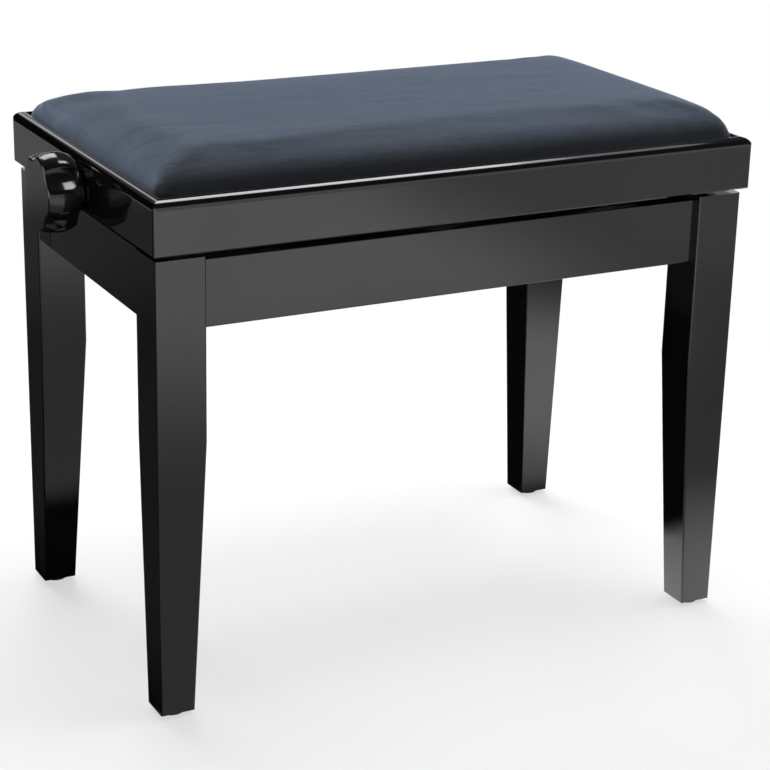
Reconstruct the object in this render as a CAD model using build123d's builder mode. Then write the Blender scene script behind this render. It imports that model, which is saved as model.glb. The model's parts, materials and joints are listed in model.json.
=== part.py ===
from build123d import *
import os
from math import asin, cos, degrees, hypot, radians, sin, sqrt

# Adjustable piano bench: a lacquered box frame with an upholstered seat, which a hand-turned
# spindle raises on a steel scissor above a stand of four tapered legs. Millimetres. The origin
# is on the floor under the middle of the bench, +X to the right, +Y to the back and +Z up.
# The seat is drawn at its lowest setting.

# Seat frame: four mitred rails with a rounded rim and a rebate that holds the padded board
SEAT_LENGTH = 555.0
SEAT_DEPTH = 335.0
RAIL_HEIGHT = 45.0
RAIL_THICKNESS = 22.0
RIM_WIDTH = 9.0
RIM_RADIUS = 8.0
REBATE_DEPTH = 16.0
SEAT_CORNER_RADIUS = 2.5
RAIL_LOWER_EDGE = 1.2

# Legs and aprons of the stand
LEG_LENGTH = 390.0
LEG_WIDTH = 42.5
FOOT_WIDTH = 30.0
LEG_STRAIGHT_LENGTH = 154.0
LEG_EDGE_RADIUS = 1.5
SIDE_OVERHANG = 3.75
FRONT_OVERHANG = 7.0
SEAT_GAP = 5.0
APRON_HEIGHT = 56.25
APRON_THICKNESS = 21.5
APRON_RECESS = 6.0
APRON_DROP = 3.5
APRON_EDGE_RADIUS = 1.0

# Floor glides
GLIDE_HEIGHT = 4.0
GLIDE_DIAMETER = 20.0
NAIL_DIAMETER = 2.4
NAIL_HEAD_DIAMETER = 6.0
NAIL_HEAD_HEIGHT = 1.4
NAIL_LENGTH = 15.0

# Corner blocks of the stand and the bolts that draw the legs into them
BLOCK_REACH = 35.0
BLOCK_HEIGHT = 45.0
BOLT_DIAMETER = 8.0
BOLT_SPACING = 24.0
BOLT_LENGTH_IN_LEG = 34.0
BOLT_END = 3.0
WASHER_DIAMETER = 18.0
WASHER_THICKNESS = 1.6
NUT_ACROSS_FLATS = 13.0
NUT_HEIGHT = 6.5

# Padded seat
BOARD_THICKNESS = 9.0
COVER_THICKNESS = 2.0
COVER_CLEARANCE = 0.3
CUSHION_SIDE_RISE = 2.0
CUSHION_SHOULDER_RISE = 14.0
CUSHION_SHOULDER_WIDTH = 20.0
CUSHION_CROWN_RISE = 8.0
CUSHION_CORNER_RADIUS = 12.0
CUSHION_FLAT_DEPTH = 96.0
CUSHION_FLAT_END = 8.0
SHOULDER_STEPS = 4
CROWN_STEPS = 4

# Corner blocks of the seat frame
SEAT_BLOCK_REACH = 40.0
SEAT_BLOCK_HEIGHT = 26.0
SEAT_SCREW_INSET = 12.5

# Wood screws, the longer kind through the seat blocks and the shorter kind in the channels
SCREW_DIAMETER = 4.0
SCREW_HEAD_DIAMETER = 8.0
SCREW_HEAD_HEIGHT = 2.4
SCREW_GRIP = 6.0

# Steel channels that carry the scissor
CHANNEL_HEIGHT = 28.0
CHANNEL_DEPTH = 16.0
CHANNEL_WALL = 2.5
CHANNEL_END_GAP = 6.25
CHANNEL_RAISE = 2.25
CHANNEL_SCREW_INSET = 65.0

# Scissor arms, with their pivots set in from the ends of the channels when the seat is lowest
PIVOT_INSET = 15.0
ARM_WIDTH = 24.0
ARM_THICKNESS = 4.0
ARM_SPACING = 2.0
CHANNEL_TO_ARM = 2.0
PIVOT_DIAMETER = 10.0
PIVOT_HEAD_DIAMETER = 16.0
PIVOT_HEAD_HEIGHT = 2.5
PIVOT_TAIL_DIAMETER = 7.0
CENTRE_PIN_DIAMETER = 9.0
CENTRE_HEAD_DIAMETER = 18.0
AXLE_DIAMETER = 10.0
GUIDE_WIDTH = 11.0

# Spindle, its bearings and the threaded traveller that it drives
SPINDLE_DIAMETER = 14.0
BUSH_DIAMETER = 20.0
BUSH_FLANGE_DIAMETER = 28.0
BUSH_FLANGE_THICKNESS = 1.5
COLLAR_DIAMETER = 24.0
COLLAR_LENGTH = 10.0
TRAVELLER_LENGTH = 36.0
TRAVELLER_WIDTH = 30.0
TRAVELLER_HEIGHT = 24.0
TRAVELLER_CHAMFER = 2.0

# Star knobs, barrel shaped, with grooves between their lobes
KNOB_DIAMETER = 69.0
KNOB_FACE_DIAMETER = 62.0
KNOB_BACK_DIAMETER = 60.0
KNOB_DEPTH = 29.0
KNOB_WIDEST_DEPTH = 14.0
KNOB_LOBES = 5
KNOB_PHASE = {"left": -3.0, "right": 55.0}
KNOB_GROOVE_RADIUS = 20.0
KNOB_GROOVE_DEPTH = 5.0
KNOB_GROOVE_BEND = 40.0
KNOB_LOBE_ROUND = 8.0
KNOB_FACE_EDGE = 2.0
KNOB_BACK_EDGE = 1.5
HUB_DIAMETER = 36.0
HUB_LENGTH = 5.0
KNOB_BORE_DEPTH = 25.0
GRUB_DIAMETER = 3.0

# Clearances, radial on round pieces
RUNNING_FIT = 0.05
FIXED_FIT = 0.02
HOLE_FIT = 0.25
SIDE_PLAY = 0.3
GUIDE_PLAY = 1.0
CENTRE_PLAY = 1.1
SLOT_PLAY_ALONG = 2.7
SLOT_PLAY_ACROSS = 1.1

# Levels
leg_bottom = GLIDE_HEIGHT
leg_top = leg_bottom + LEG_LENGTH
taper_top = leg_top - LEG_STRAIGHT_LENGTH
apron_top = leg_top - APRON_DROP
apron_bottom = apron_top - APRON_HEIGHT
rail_bottom = leg_top + SEAT_GAP
rail_top = rail_bottom + RAIL_HEIGHT
board_bottom = rail_top - REBATE_DEPTH
board_top = board_bottom + BOARD_THICKNESS
lower_pivot_z = apron_bottom + CHANNEL_RAISE + CHANNEL_HEIGHT / 2
upper_pivot_z = board_bottom - CHANNEL_HEIGHT / 2
centre_z = (lower_pivot_z + upper_pivot_z) / 2
block_z = (apron_top + apron_bottom) / 2

# Distances from the middle of the bench
seat_x = SEAT_LENGTH / 2
seat_y = SEAT_DEPTH / 2
rail_inner_x = seat_x - RAIL_THICKNESS
rail_inner_y = seat_y - RAIL_THICKNESS
leg_x = seat_x - SIDE_OVERHANG
leg_y = seat_y - FRONT_OVERHANG
leg_inner_x = leg_x - LEG_WIDTH
leg_inner_y = leg_y - LEG_WIDTH
apron_inner_x = leg_x - APRON_RECESS - APRON_THICKNESS
apron_inner_y = leg_y - APRON_RECESS - APRON_THICKNESS
web_y = apron_inner_y - CHANNEL_WALL
outer_arm_y = apron_inner_y - CHANNEL_DEPTH - CHANNEL_TO_ARM
inner_arm_y = outer_arm_y - ARM_THICKNESS - ARM_SPACING
guide_y = web_y - GUIDE_PLAY
channel_x = leg_inner_x - BLOCK_REACH - CHANNEL_END_GAP
pivot_x = channel_x - PIVOT_INSET

# Scissor geometry at the lowest setting
arm_rise = upper_pivot_z - lower_pivot_z
arm_length = hypot(2 * pivot_x, arm_rise)
rest_angle = degrees(asin(arm_rise / arm_length))
guide_diameter = CHANNEL_HEIGHT - 2 * CHANNEL_WALL - 2 * GUIDE_PLAY

# Outline of the cushion, and the inset from it to the flat of the crown
cushion_length = SEAT_LENGTH - 2 * (RIM_WIDTH + COVER_CLEARANCE)
cushion_depth = SEAT_DEPTH - 2 * (RIM_WIDTH + COVER_CLEARANCE)
crown_inset = (cushion_depth - CUSHION_FLAT_DEPTH) / 2
crown_radius = (CUSHION_FLAT_DEPTH - CUSHION_FLAT_END) / 2

# Depth of a stand block along the bolt, and the ends of the spindle and its knobs
block_depth = (BLOCK_REACH - (apron_inner_y - leg_inner_y)) / sqrt(2)
knob_back_x = seat_x + BUSH_FLANGE_THICKNESS + SIDE_PLAY
spindle_half = knob_back_x + KNOB_BORE_DEPTH
knob_length = HUB_LENGTH + KNOB_DEPTH
knob_widest = knob_length - KNOB_WIDEST_DEPTH

CORNERS = {"front_left": (-1, -1), "front_right": (1, -1), "back_left": (-1, 1), "back_right": (1, 1)}
INWARD = {"front": (0, 1), "back": (0, -1), "left": (1, 0), "right": (-1, 0)}
ENDS = {"left": -1, "right": 1}
ROWS = {"front": -1, "back": 1}
FROM_PLANE = (Align.CENTER, Align.CENTER, Align.MIN)
channel_screw_x = [CHANNEL_SCREW_INSET - pivot_x, 0, pivot_x - CHANNEL_SCREW_INSET]
bolt_heights = [block_z - BOLT_SPACING / 2, block_z + BOLT_SPACING / 2]


def write(piece, label):
    """Name a finished piece and write it to its own file."""
    piece.part.label = label
    export_step(piece.part, f"parts/{label}.step")


def section_plane(side, distance):
    """Plane across a rail: x points inward from a face at this distance, y points up."""
    inward = Vector(*INWARD[side], 0)
    return Plane(origin=inward * -distance, x_dir=inward, z_dir=inward.cross(Vector(0, 0, 1)))


def web_planes(row, depth, level):
    """Planes at the channel screws, on a face at this depth, facing into the bench."""
    y_side = ROWS[row]
    return [Plane(origin=(x, y_side * depth, level), z_dir=(0, -y_side, 0)) for x in channel_screw_x]


def flange_planes(row):
    """Planes at the channel screws under the seat board, facing down."""
    y = ROWS[row] * (apron_inner_y - CHANNEL_DEPTH / 2)
    return [Plane(origin=(x, y, board_bottom), z_dir=(0, 0, -1)) for x in channel_screw_x]


def bolt_planes(corner):
    """Planes on the inner edge of one leg, facing out along its diagonal."""
    x_side, y_side = CORNERS[corner]
    x = x_side * leg_inner_x
    y = y_side * leg_inner_y
    return [Plane(origin=(x, y, z), z_dir=(x_side, y_side, 0)) for z in bolt_heights]


def foot_centre(corner):
    """Middle of the foot of one leg."""
    x_side, y_side = CORNERS[corner]
    return (x_side * (leg_x - FOOT_WIDTH / 2), y_side * (leg_y - FOOT_WIDTH / 2))


def seat_screw_planes():
    """Planes at the screws of the seat frame's corner blocks, facing up from their undersides."""
    x = rail_inner_x - SEAT_SCREW_INSET
    y = rail_inner_y - SEAT_SCREW_INSET
    z = board_bottom - SEAT_BLOCK_HEIGHT
    return {name: Plane(origin=(i * x, j * y, z)) for name, (i, j) in CORNERS.items()}


def build_leg(corner):
    """Square leg whose two inner faces taper to the foot."""
    x_side, y_side = CORNERS[corner]
    top_centre = (x_side * (leg_x - LEG_WIDTH / 2), y_side * (leg_y - LEG_WIDTH / 2))
    with BuildPart() as leg:
        with BuildSketch(Plane.XY.offset(leg_bottom)):
            with Locations(foot_centre(corner)):
                RectangleRounded(FOOT_WIDTH, FOOT_WIDTH, LEG_EDGE_RADIUS)
        with BuildSketch(Plane.XY.offset(taper_top)):
            with Locations(top_centre):
                RectangleRounded(LEG_WIDTH, LEG_WIDTH, LEG_EDGE_RADIUS)
        loft(ruled=True)
        with BuildSketch(Plane.XY.offset(taper_top)):
            with Locations(top_centre):
                RectangleRounded(LEG_WIDTH, LEG_WIDTH, LEG_EDGE_RADIUS)
        extrude(amount=LEG_STRAIGHT_LENGTH)
        with Locations(*bolt_planes(corner)):
            Cylinder(BOLT_DIAMETER / 2 + FIXED_FIT, BOLT_LENGTH_IN_LEG, align=FROM_PLANE, mode=Mode.SUBTRACT)
        with Locations(Plane(origin=(*foot_centre(corner), leg_bottom))):
            Cylinder(NAIL_DIAMETER / 2 + FIXED_FIT, NAIL_LENGTH, align=FROM_PLANE, mode=Mode.SUBTRACT)
    write(leg, f"leg_{corner}")


def build_apron(side):
    """Apron between two legs, set back from their outer faces."""
    if side in ROWS:
        outer = leg_y - APRON_RECESS
        half_length = leg_inner_x
    else:
        outer = leg_x - APRON_RECESS
        half_length = leg_inner_y
    with BuildPart() as apron:
        with BuildSketch(section_plane(side, outer)):
            with Locations((APRON_THICKNESS / 2, block_z)):
                RectangleRounded(APRON_THICKNESS, APRON_HEIGHT, APRON_EDGE_RADIUS)
        extrude(amount=half_length, both=True)
        if side in ROWS:
            with Locations(*web_planes(side, apron_inner_y + SCREW_GRIP, lower_pivot_z)):
                Cylinder(SCREW_DIAMETER / 2 + FIXED_FIT, SCREW_GRIP, align=FROM_PLANE, mode=Mode.SUBTRACT)
    write(apron, f"apron_{side}")


def build_corner_block(corner):
    """Wooden block that joins two aprons round the inner edge of a leg."""
    x_side, y_side = CORNERS[corner]
    outline = [
        (leg_inner_x - BLOCK_REACH, apron_inner_y),
        (leg_inner_x, apron_inner_y),
        (leg_inner_x, leg_inner_y),
        (apron_inner_x, leg_inner_y),
        (apron_inner_x, leg_inner_y - BLOCK_REACH),
    ]
    with BuildPart() as block:
        with BuildSketch(Plane.XY.offset(block_z - BLOCK_HEIGHT / 2)):
            with BuildLine():
                Polyline(*[(x_side * x, y_side * y) for x, y in outline], close=True)
            make_face()
        extrude(amount=BLOCK_HEIGHT)
        with Locations(*bolt_planes(corner)):
            Cylinder(BOLT_DIAMETER / 2 + HOLE_FIT, 2 * block_depth, mode=Mode.SUBTRACT)
    write(block, f"corner_block_{corner}")


def build_leg_fasteners():
    """Bolts, washers and nuts on the inner faces of the corner blocks."""
    planes = [plane for corner in CORNERS for plane in bolt_planes(corner)]
    nut_start = block_depth + WASHER_THICKNESS + NUT_HEIGHT
    bolt_start = nut_start + BOLT_END
    with BuildPart() as bolts:
        with Locations(*[plane.offset(-bolt_start) for plane in planes]):
            Cylinder(BOLT_DIAMETER / 2, bolt_start + BOLT_LENGTH_IN_LEG, align=FROM_PLANE)
    write(bolts, "leg_bolts")
    with BuildPart() as washers:
        with Locations(*[plane.offset(-block_depth - WASHER_THICKNESS) for plane in planes]):
            Cylinder(WASHER_DIAMETER / 2, WASHER_THICKNESS, align=FROM_PLANE)
            Cylinder(BOLT_DIAMETER / 2 + HOLE_FIT, 2 * WASHER_THICKNESS, mode=Mode.SUBTRACT)
    write(washers, "leg_washers")
    with BuildPart() as nuts:
        for plane in planes:
            with BuildSketch(plane.offset(-nut_start)):
                RegularPolygon(NUT_ACROSS_FLATS / 2, 6, major_radius=False)
                Circle(BOLT_DIAMETER / 2 + FIXED_FIT, mode=Mode.SUBTRACT)
        extrude(amount=NUT_HEIGHT)
    write(nuts, "leg_nuts")


def build_glides():
    """Round floor glides, each held to its leg by a nail through a recess."""
    feet = [foot_centre(corner) for corner in CORNERS]
    with BuildPart() as glides:
        with BuildSketch():
            with Locations(*feet):
                Circle(GLIDE_DIAMETER / 2)
        extrude(amount=GLIDE_HEIGHT)
        with BuildSketch():
            with Locations(*feet):
                Circle(NAIL_HEAD_DIAMETER / 2 + HOLE_FIT)
        extrude(amount=GLIDE_HEIGHT / 2, mode=Mode.SUBTRACT)
        with BuildSketch():
            with Locations(*feet):
                Circle(NAIL_DIAMETER / 2 + FIXED_FIT)
        extrude(amount=GLIDE_HEIGHT, mode=Mode.SUBTRACT)
    write(glides, "floor_glides")
    with BuildPart() as nails:
        with BuildSketch(Plane.XY.offset(GLIDE_HEIGHT / 2 - NAIL_HEAD_HEIGHT)):
            with Locations(*feet):
                Circle(NAIL_HEAD_DIAMETER / 2)
        extrude(amount=NAIL_HEAD_HEIGHT)
        with BuildSketch(Plane.XY.offset(GLIDE_HEIGHT / 2)):
            with Locations(*feet):
                Circle(NAIL_DIAMETER / 2)
        extrude(amount=GLIDE_HEIGHT / 2 + NAIL_LENGTH)
    write(nails, "glide_nails")


def build_rail(side):
    """Mitred rail of the seat frame, rounded at the rim and rebated for the board."""
    if side in ROWS:
        outer = seat_y
        half_length = seat_x
    else:
        outer = seat_x
        half_length = seat_y
    plane = section_plane(side, outer)
    with BuildPart() as rail:
        with BuildSketch(plane):
            with BuildLine():
                rim = RadiusArc((0, rail_top - RIM_RADIUS), (RIM_RADIUS, rail_top), RIM_RADIUS)
                Polyline(
                    rim @ 1,
                    (RIM_WIDTH, rail_top),
                    (RIM_WIDTH, board_bottom),
                    (RAIL_THICKNESS, board_bottom),
                    (RAIL_THICKNESS, rail_bottom),
                    (RAIL_LOWER_EDGE, rail_bottom),
                    (0, rail_bottom + RAIL_LOWER_EDGE),
                    rim @ 0,
                )
            make_face()
        extrude(amount=half_length, both=True)
        for end in (-1, 1):
            outer_corner = plane.origin + plane.z_dir * (end * half_length)
            mitre = Plane(origin=outer_corner, z_dir=plane.z_dir * end + plane.x_dir)
            split(bisect_by=mitre, keep=Keep.BOTTOM)
        with BuildSketch(Plane.XY.offset(rail_bottom)):
            RectangleRounded(SEAT_LENGTH, SEAT_DEPTH, SEAT_CORNER_RADIUS)
        extrude(amount=RAIL_HEIGHT, mode=Mode.INTERSECT)
        if side in ENDS:
            with BuildSketch(Plane.YZ.offset(ENDS[side] * seat_x)):
                with Locations((0, upper_pivot_z)):
                    Circle(BUSH_DIAMETER / 2 + FIXED_FIT)
            extrude(amount=RAIL_THICKNESS, both=True, mode=Mode.SUBTRACT)
    write(rail, f"seat_rail_{side}")


def build_seat_block(corner):
    """Triangular block in a corner of the seat frame, under the board."""
    x_side, y_side = CORNERS[corner]
    x = x_side * rail_inner_x
    y = y_side * rail_inner_y
    with BuildPart() as block:
        with BuildSketch(Plane.XY.offset(board_bottom - SEAT_BLOCK_HEIGHT)):
            with BuildLine():
                Polyline((x, y), (x - x_side * SEAT_BLOCK_REACH, y), (x, y - y_side * SEAT_BLOCK_REACH), close=True)
            make_face()
        extrude(amount=SEAT_BLOCK_HEIGHT)
        with Locations(seat_screw_planes()[corner]):
            Cylinder(SCREW_DIAMETER / 2 + HOLE_FIT, SEAT_BLOCK_HEIGHT, align=FROM_PLANE, mode=Mode.SUBTRACT)
            Cylinder(SCREW_HEAD_DIAMETER / 2 + HOLE_FIT, SCREW_HEAD_HEIGHT, align=FROM_PLANE, mode=Mode.SUBTRACT)
    write(block, f"seat_block_{corner}")


def cushion_sections(shrink):
    """Insets and levels of the cushion's outline from the top of its side to its crown.

    The shoulder is a quarter ellipse and the crown above it is a shallow parabola.
    """
    side_top = rail_top + CUSHION_SIDE_RISE - shrink
    shoulder_top = side_top + CUSHION_SHOULDER_RISE
    sections = []
    for step in range(SHOULDER_STEPS):
        turn = radians(90 * step / SHOULDER_STEPS)
        inset = CUSHION_SHOULDER_WIDTH * (1 - cos(turn))
        sections.append((inset, side_top + CUSHION_SHOULDER_RISE * sin(turn)))
    for step in range(CROWN_STEPS + 1):
        share = step / CROWN_STEPS
        inset = CUSHION_SHOULDER_WIDTH + (crown_inset - CUSHION_SHOULDER_WIDTH) * share
        sections.append((inset, shoulder_top + CUSHION_CROWN_RISE * (1 - (1 - share) ** 2)))
    return sections


def cushion_form(shrink, bottom):
    """Padded body with straight sides, a rounded shoulder and a crown."""
    length = cushion_length - 2 * shrink
    depth = cushion_depth - 2 * shrink
    sections = cushion_sections(shrink)
    with BuildPart() as form:
        with BuildSketch(Plane.XY.offset(bottom)):
            RectangleRounded(length, depth, CUSHION_CORNER_RADIUS)
        extrude(amount=sections[0][1] - bottom)
        for inset, level in sections:
            corner_radius = CUSHION_CORNER_RADIUS + (crown_radius - CUSHION_CORNER_RADIUS) * inset / crown_inset
            with BuildSketch(Plane.XY.offset(level)):
                RectangleRounded(length - 2 * inset, depth - 2 * inset, corner_radius)
        loft(ruled=True)
    return form.part


def board_form():
    """Plain outline of the seat board."""
    length = cushion_length - 2 * COVER_THICKNESS
    depth = cushion_depth - 2 * COVER_THICKNESS
    with BuildPart() as form:
        with BuildSketch(Plane.XY.offset(board_bottom)):
            RectangleRounded(length, depth, CUSHION_CORNER_RADIUS)
        extrude(amount=BOARD_THICKNESS)
    return form.part


def build_seat():
    """Seat board, foam pad and the velour cover that wraps both."""
    plain_board = board_form()
    filling = cushion_form(COVER_THICKNESS, board_top)
    padded = cushion_form(0, board_bottom)
    with BuildPart() as board:
        add(plain_board)
        with Locations(*[plane.offset(SEAT_BLOCK_HEIGHT) for plane in seat_screw_planes().values()]):
            Cylinder(SCREW_DIAMETER / 2 + FIXED_FIT, SCREW_GRIP, align=FROM_PLANE, mode=Mode.SUBTRACT)
        with Locations(*[plane.offset(-SCREW_GRIP) for row in ROWS for plane in flange_planes(row)]):
            Cylinder(SCREW_DIAMETER / 2 + FIXED_FIT, SCREW_GRIP, align=FROM_PLANE, mode=Mode.SUBTRACT)
    write(board, "seat_board")
    with BuildPart() as foam:
        add(filling)
    write(foam, "foam_pad")
    with BuildPart() as cover:
        add(padded)
        add(plain_board, mode=Mode.SUBTRACT)
        add(filling, mode=Mode.SUBTRACT)
    write(cover, "seat_cover")


def build_seat_screws():
    """Screws that hold the board down, from the undersides of the seat frame's blocks."""
    with BuildPart() as screws:
        with Locations(*seat_screw_planes().values()):
            Cylinder(SCREW_HEAD_DIAMETER / 2, SCREW_HEAD_HEIGHT, align=FROM_PLANE)
            Cylinder(SCREW_DIAMETER / 2, SEAT_BLOCK_HEIGHT + SCREW_GRIP, align=FROM_PLANE)
    write(screws, "seat_screws")


def build_channel(row, level, label, screw_planes):
    """C-channel along the bench, open to the middle, with a pivot hole and screw holes."""
    with BuildPart() as channel:
        with BuildSketch(section_plane(row, apron_inner_y)):
            with Locations((CHANNEL_DEPTH / 2, level)):
                Rectangle(CHANNEL_DEPTH, CHANNEL_HEIGHT)
            with Locations((CHANNEL_DEPTH / 2 + CHANNEL_WALL, level)):
                Rectangle(CHANNEL_DEPTH, CHANNEL_HEIGHT - 2 * CHANNEL_WALL, mode=Mode.SUBTRACT)
        extrude(amount=channel_x, both=True)
        with Locations(Plane(origin=(-pivot_x, ROWS[row] * apron_inner_y, level), z_dir=(0, -ROWS[row], 0))):
            Cylinder(PIVOT_TAIL_DIAMETER / 2 + FIXED_FIT, CHANNEL_WALL, align=FROM_PLANE, mode=Mode.SUBTRACT)
        with Locations(*screw_planes):
            Cylinder(SCREW_DIAMETER / 2 + HOLE_FIT, CHANNEL_WALL, align=FROM_PLANE, mode=Mode.SUBTRACT)
    write(channel, label)


def build_channel_screws(planes, label):
    """Screws through a channel, whose heads sit inside it."""
    with BuildPart() as screws:
        with Locations(*[plane.offset(-SCREW_GRIP) for plane in planes]):
            Cylinder(SCREW_DIAMETER / 2, SCREW_GRIP + CHANNEL_WALL, align=FROM_PLANE)
        with Locations(*[plane.offset(CHANNEL_WALL) for plane in planes]):
            Cylinder(SCREW_HEAD_DIAMETER / 2, SCREW_HEAD_HEIGHT, align=FROM_PLANE)
    write(screws, label)


def build_pivot_rivets(level, arm_y, label):
    """Shouldered rivets on the webs of two channels, each carrying the fixed end of an arm."""
    shoulder = web_y - arm_y - SIDE_PLAY
    shank = shoulder + ARM_THICKNESS + 2 * SIDE_PLAY
    with BuildPart() as rivets:
        for y_side in ROWS.values():
            web = Plane(origin=(-pivot_x, y_side * web_y, level), z_dir=(0, -y_side, 0))
            with Locations(web.offset(-CHANNEL_WALL)):
                Cylinder(PIVOT_TAIL_DIAMETER / 2, CHANNEL_WALL, align=FROM_PLANE)
            with Locations(web):
                Cylinder(PIVOT_HEAD_DIAMETER / 2, shoulder, align=FROM_PLANE)
                Cylinder(PIVOT_DIAMETER / 2, shank, align=FROM_PLANE)
            with Locations(web.offset(shank)):
                Cylinder(PIVOT_HEAD_DIAMETER / 2, PIVOT_HEAD_HEIGHT, align=FROM_PLANE)
    write(rivets, label)


def arm_plane(row, arm_y):
    """Plane of an arm's face towards the back, on which the arm is drawn and from which it grows."""
    if row == "back":
        return Plane.XZ.offset(-arm_y)
    return Plane.XZ.offset(arm_y - ARM_THICKNESS)


def build_outer_arm(row):
    """Arm that turns on the lower channel and is slotted for the traveller's axle at its top end."""
    with BuildPart() as arm:
        with BuildSketch(arm_plane(row, outer_arm_y)):
            with Locations((0, centre_z)):
                SlotCenterToCenter(arm_length, ARM_WIDTH, rotation=rest_angle)
                Circle(CENTRE_PIN_DIAMETER / 2 + FIXED_FIT, mode=Mode.SUBTRACT)
            with Locations((-pivot_x, lower_pivot_z)):
                Circle(PIVOT_DIAMETER / 2 + RUNNING_FIT, mode=Mode.SUBTRACT)
            with Locations((pivot_x, upper_pivot_z)):
                SlotCenterToCenter(
                    2 * (SLOT_PLAY_ALONG - SLOT_PLAY_ACROSS),
                    AXLE_DIAMETER + 2 * SLOT_PLAY_ACROSS,
                    rotation=rest_angle,
                    mode=Mode.SUBTRACT,
                )
        extrude(amount=ARM_THICKNESS)
    write(arm, f"outer_arm_{row}")


def build_inner_arm(row):
    """Arm that turns on the upper channel and carries the lower axle at its bottom end."""
    with BuildPart() as arm:
        with BuildSketch(arm_plane(row, inner_arm_y)):
            with Locations((0, centre_z)):
                SlotCenterToCenter(arm_length, ARM_WIDTH, rotation=-rest_angle)
                Circle(CENTRE_PIN_DIAMETER / 2 + CENTRE_PLAY, mode=Mode.SUBTRACT)
            with Locations((-pivot_x, upper_pivot_z)):
                Circle(PIVOT_DIAMETER / 2 + RUNNING_FIT, mode=Mode.SUBTRACT)
            with Locations((pivot_x, lower_pivot_z)):
                Circle(AXLE_DIAMETER / 2 + FIXED_FIT, mode=Mode.SUBTRACT)
        extrude(amount=ARM_THICKNESS)
    write(arm, f"inner_arm_{row}")


def build_scissor_rivets():
    """Rivets at the crossings, set in the outer arms, with a collar between the two arms."""
    grip = 2 * ARM_THICKNESS + ARM_SPACING + SIDE_PLAY
    with BuildPart() as rivets:
        for y_side in ROWS.values():
            face = Plane(origin=(0, y_side * outer_arm_y, centre_z), z_dir=(0, -y_side, 0))
            with Locations(face):
                Cylinder(CENTRE_PIN_DIAMETER / 2, grip, align=FROM_PLANE)
            with Locations(face.offset(-PIVOT_HEAD_HEIGHT), face.offset(grip)):
                Cylinder(CENTRE_HEAD_DIAMETER / 2, PIVOT_HEAD_HEIGHT, align=FROM_PLANE)
            with Locations(face.offset(ARM_THICKNESS)):
                Cylinder(CENTRE_HEAD_DIAMETER / 2, ARM_SPACING - SIDE_PLAY, align=FROM_PLANE)
    write(rivets, "scissor_rivets")


def build_guides(level, label):
    """Nylon rings on the ends of an axle, which slide in the channels."""
    with BuildPart() as guides:
        for y_side in ROWS.values():
            with BuildSketch(Plane(origin=(pivot_x, y_side * guide_y, level), z_dir=(0, -y_side, 0))):
                Circle(guide_diameter / 2)
                Circle(AXLE_DIAMETER / 2 + FIXED_FIT, mode=Mode.SUBTRACT)
        extrude(amount=GUIDE_WIDTH)
    write(guides, label)


def build_lower_axle():
    """Cross rod through the bottom ends of the inner arms."""
    with BuildPart() as axle:
        with BuildSketch(Plane(origin=(pivot_x, 0, lower_pivot_z), z_dir=(0, 1, 0))):
            Circle(AXLE_DIAMETER / 2)
        extrude(amount=guide_y, both=True)
    write(axle, "lower_axle")


def build_traveller():
    """Threaded block on the spindle with an axle at each end, which pulls the outer arms."""
    with BuildPart() as nut:
        with Locations((pivot_x, 0, upper_pivot_z)):
            Box(TRAVELLER_LENGTH, TRAVELLER_WIDTH, TRAVELLER_HEIGHT)
            Cylinder(
                SPINDLE_DIAMETER / 2 + RUNNING_FIT,
                TRAVELLER_LENGTH,
                rotation=(0, 90, 0),
                mode=Mode.SUBTRACT,
            )
        chamfer(nut.edges().filter_by(Axis.Y), TRAVELLER_CHAMFER)
    write(nut, "traveller_nut")
    with BuildPart() as axles:
        for y_side in ROWS.values():
            face = Plane(origin=(pivot_x, y_side * TRAVELLER_WIDTH / 2, upper_pivot_z), z_dir=(0, y_side, 0))
            with BuildSketch(face):
                Circle(AXLE_DIAMETER / 2)
        extrude(amount=guide_y - TRAVELLER_WIDTH / 2)
    write(axles, "traveller_axles")


def build_bush(end):
    """Flanged bush in a side rail, which carries the spindle."""
    with BuildPart() as bush:
        with BuildSketch(Plane(origin=(ENDS[end] * seat_x, 0, upper_pivot_z), z_dir=(ENDS[end], 0, 0))):
            Circle(BUSH_FLANGE_DIAMETER / 2)
        extrude(amount=BUSH_FLANGE_THICKNESS)
        with BuildSketch(Plane(origin=(ENDS[end] * seat_x, 0, upper_pivot_z), z_dir=(-ENDS[end], 0, 0))):
            Circle(BUSH_DIAMETER / 2)
        extrude(amount=RAIL_THICKNESS)
        with BuildSketch(Plane.YZ.offset(ENDS[end] * seat_x)):
            with Locations((0, upper_pivot_z)):
                Circle(SPINDLE_DIAMETER / 2 + RUNNING_FIT)
        extrude(amount=RAIL_THICKNESS, both=True, mode=Mode.SUBTRACT)
    write(bush, f"spindle_bush_{end}")


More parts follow.
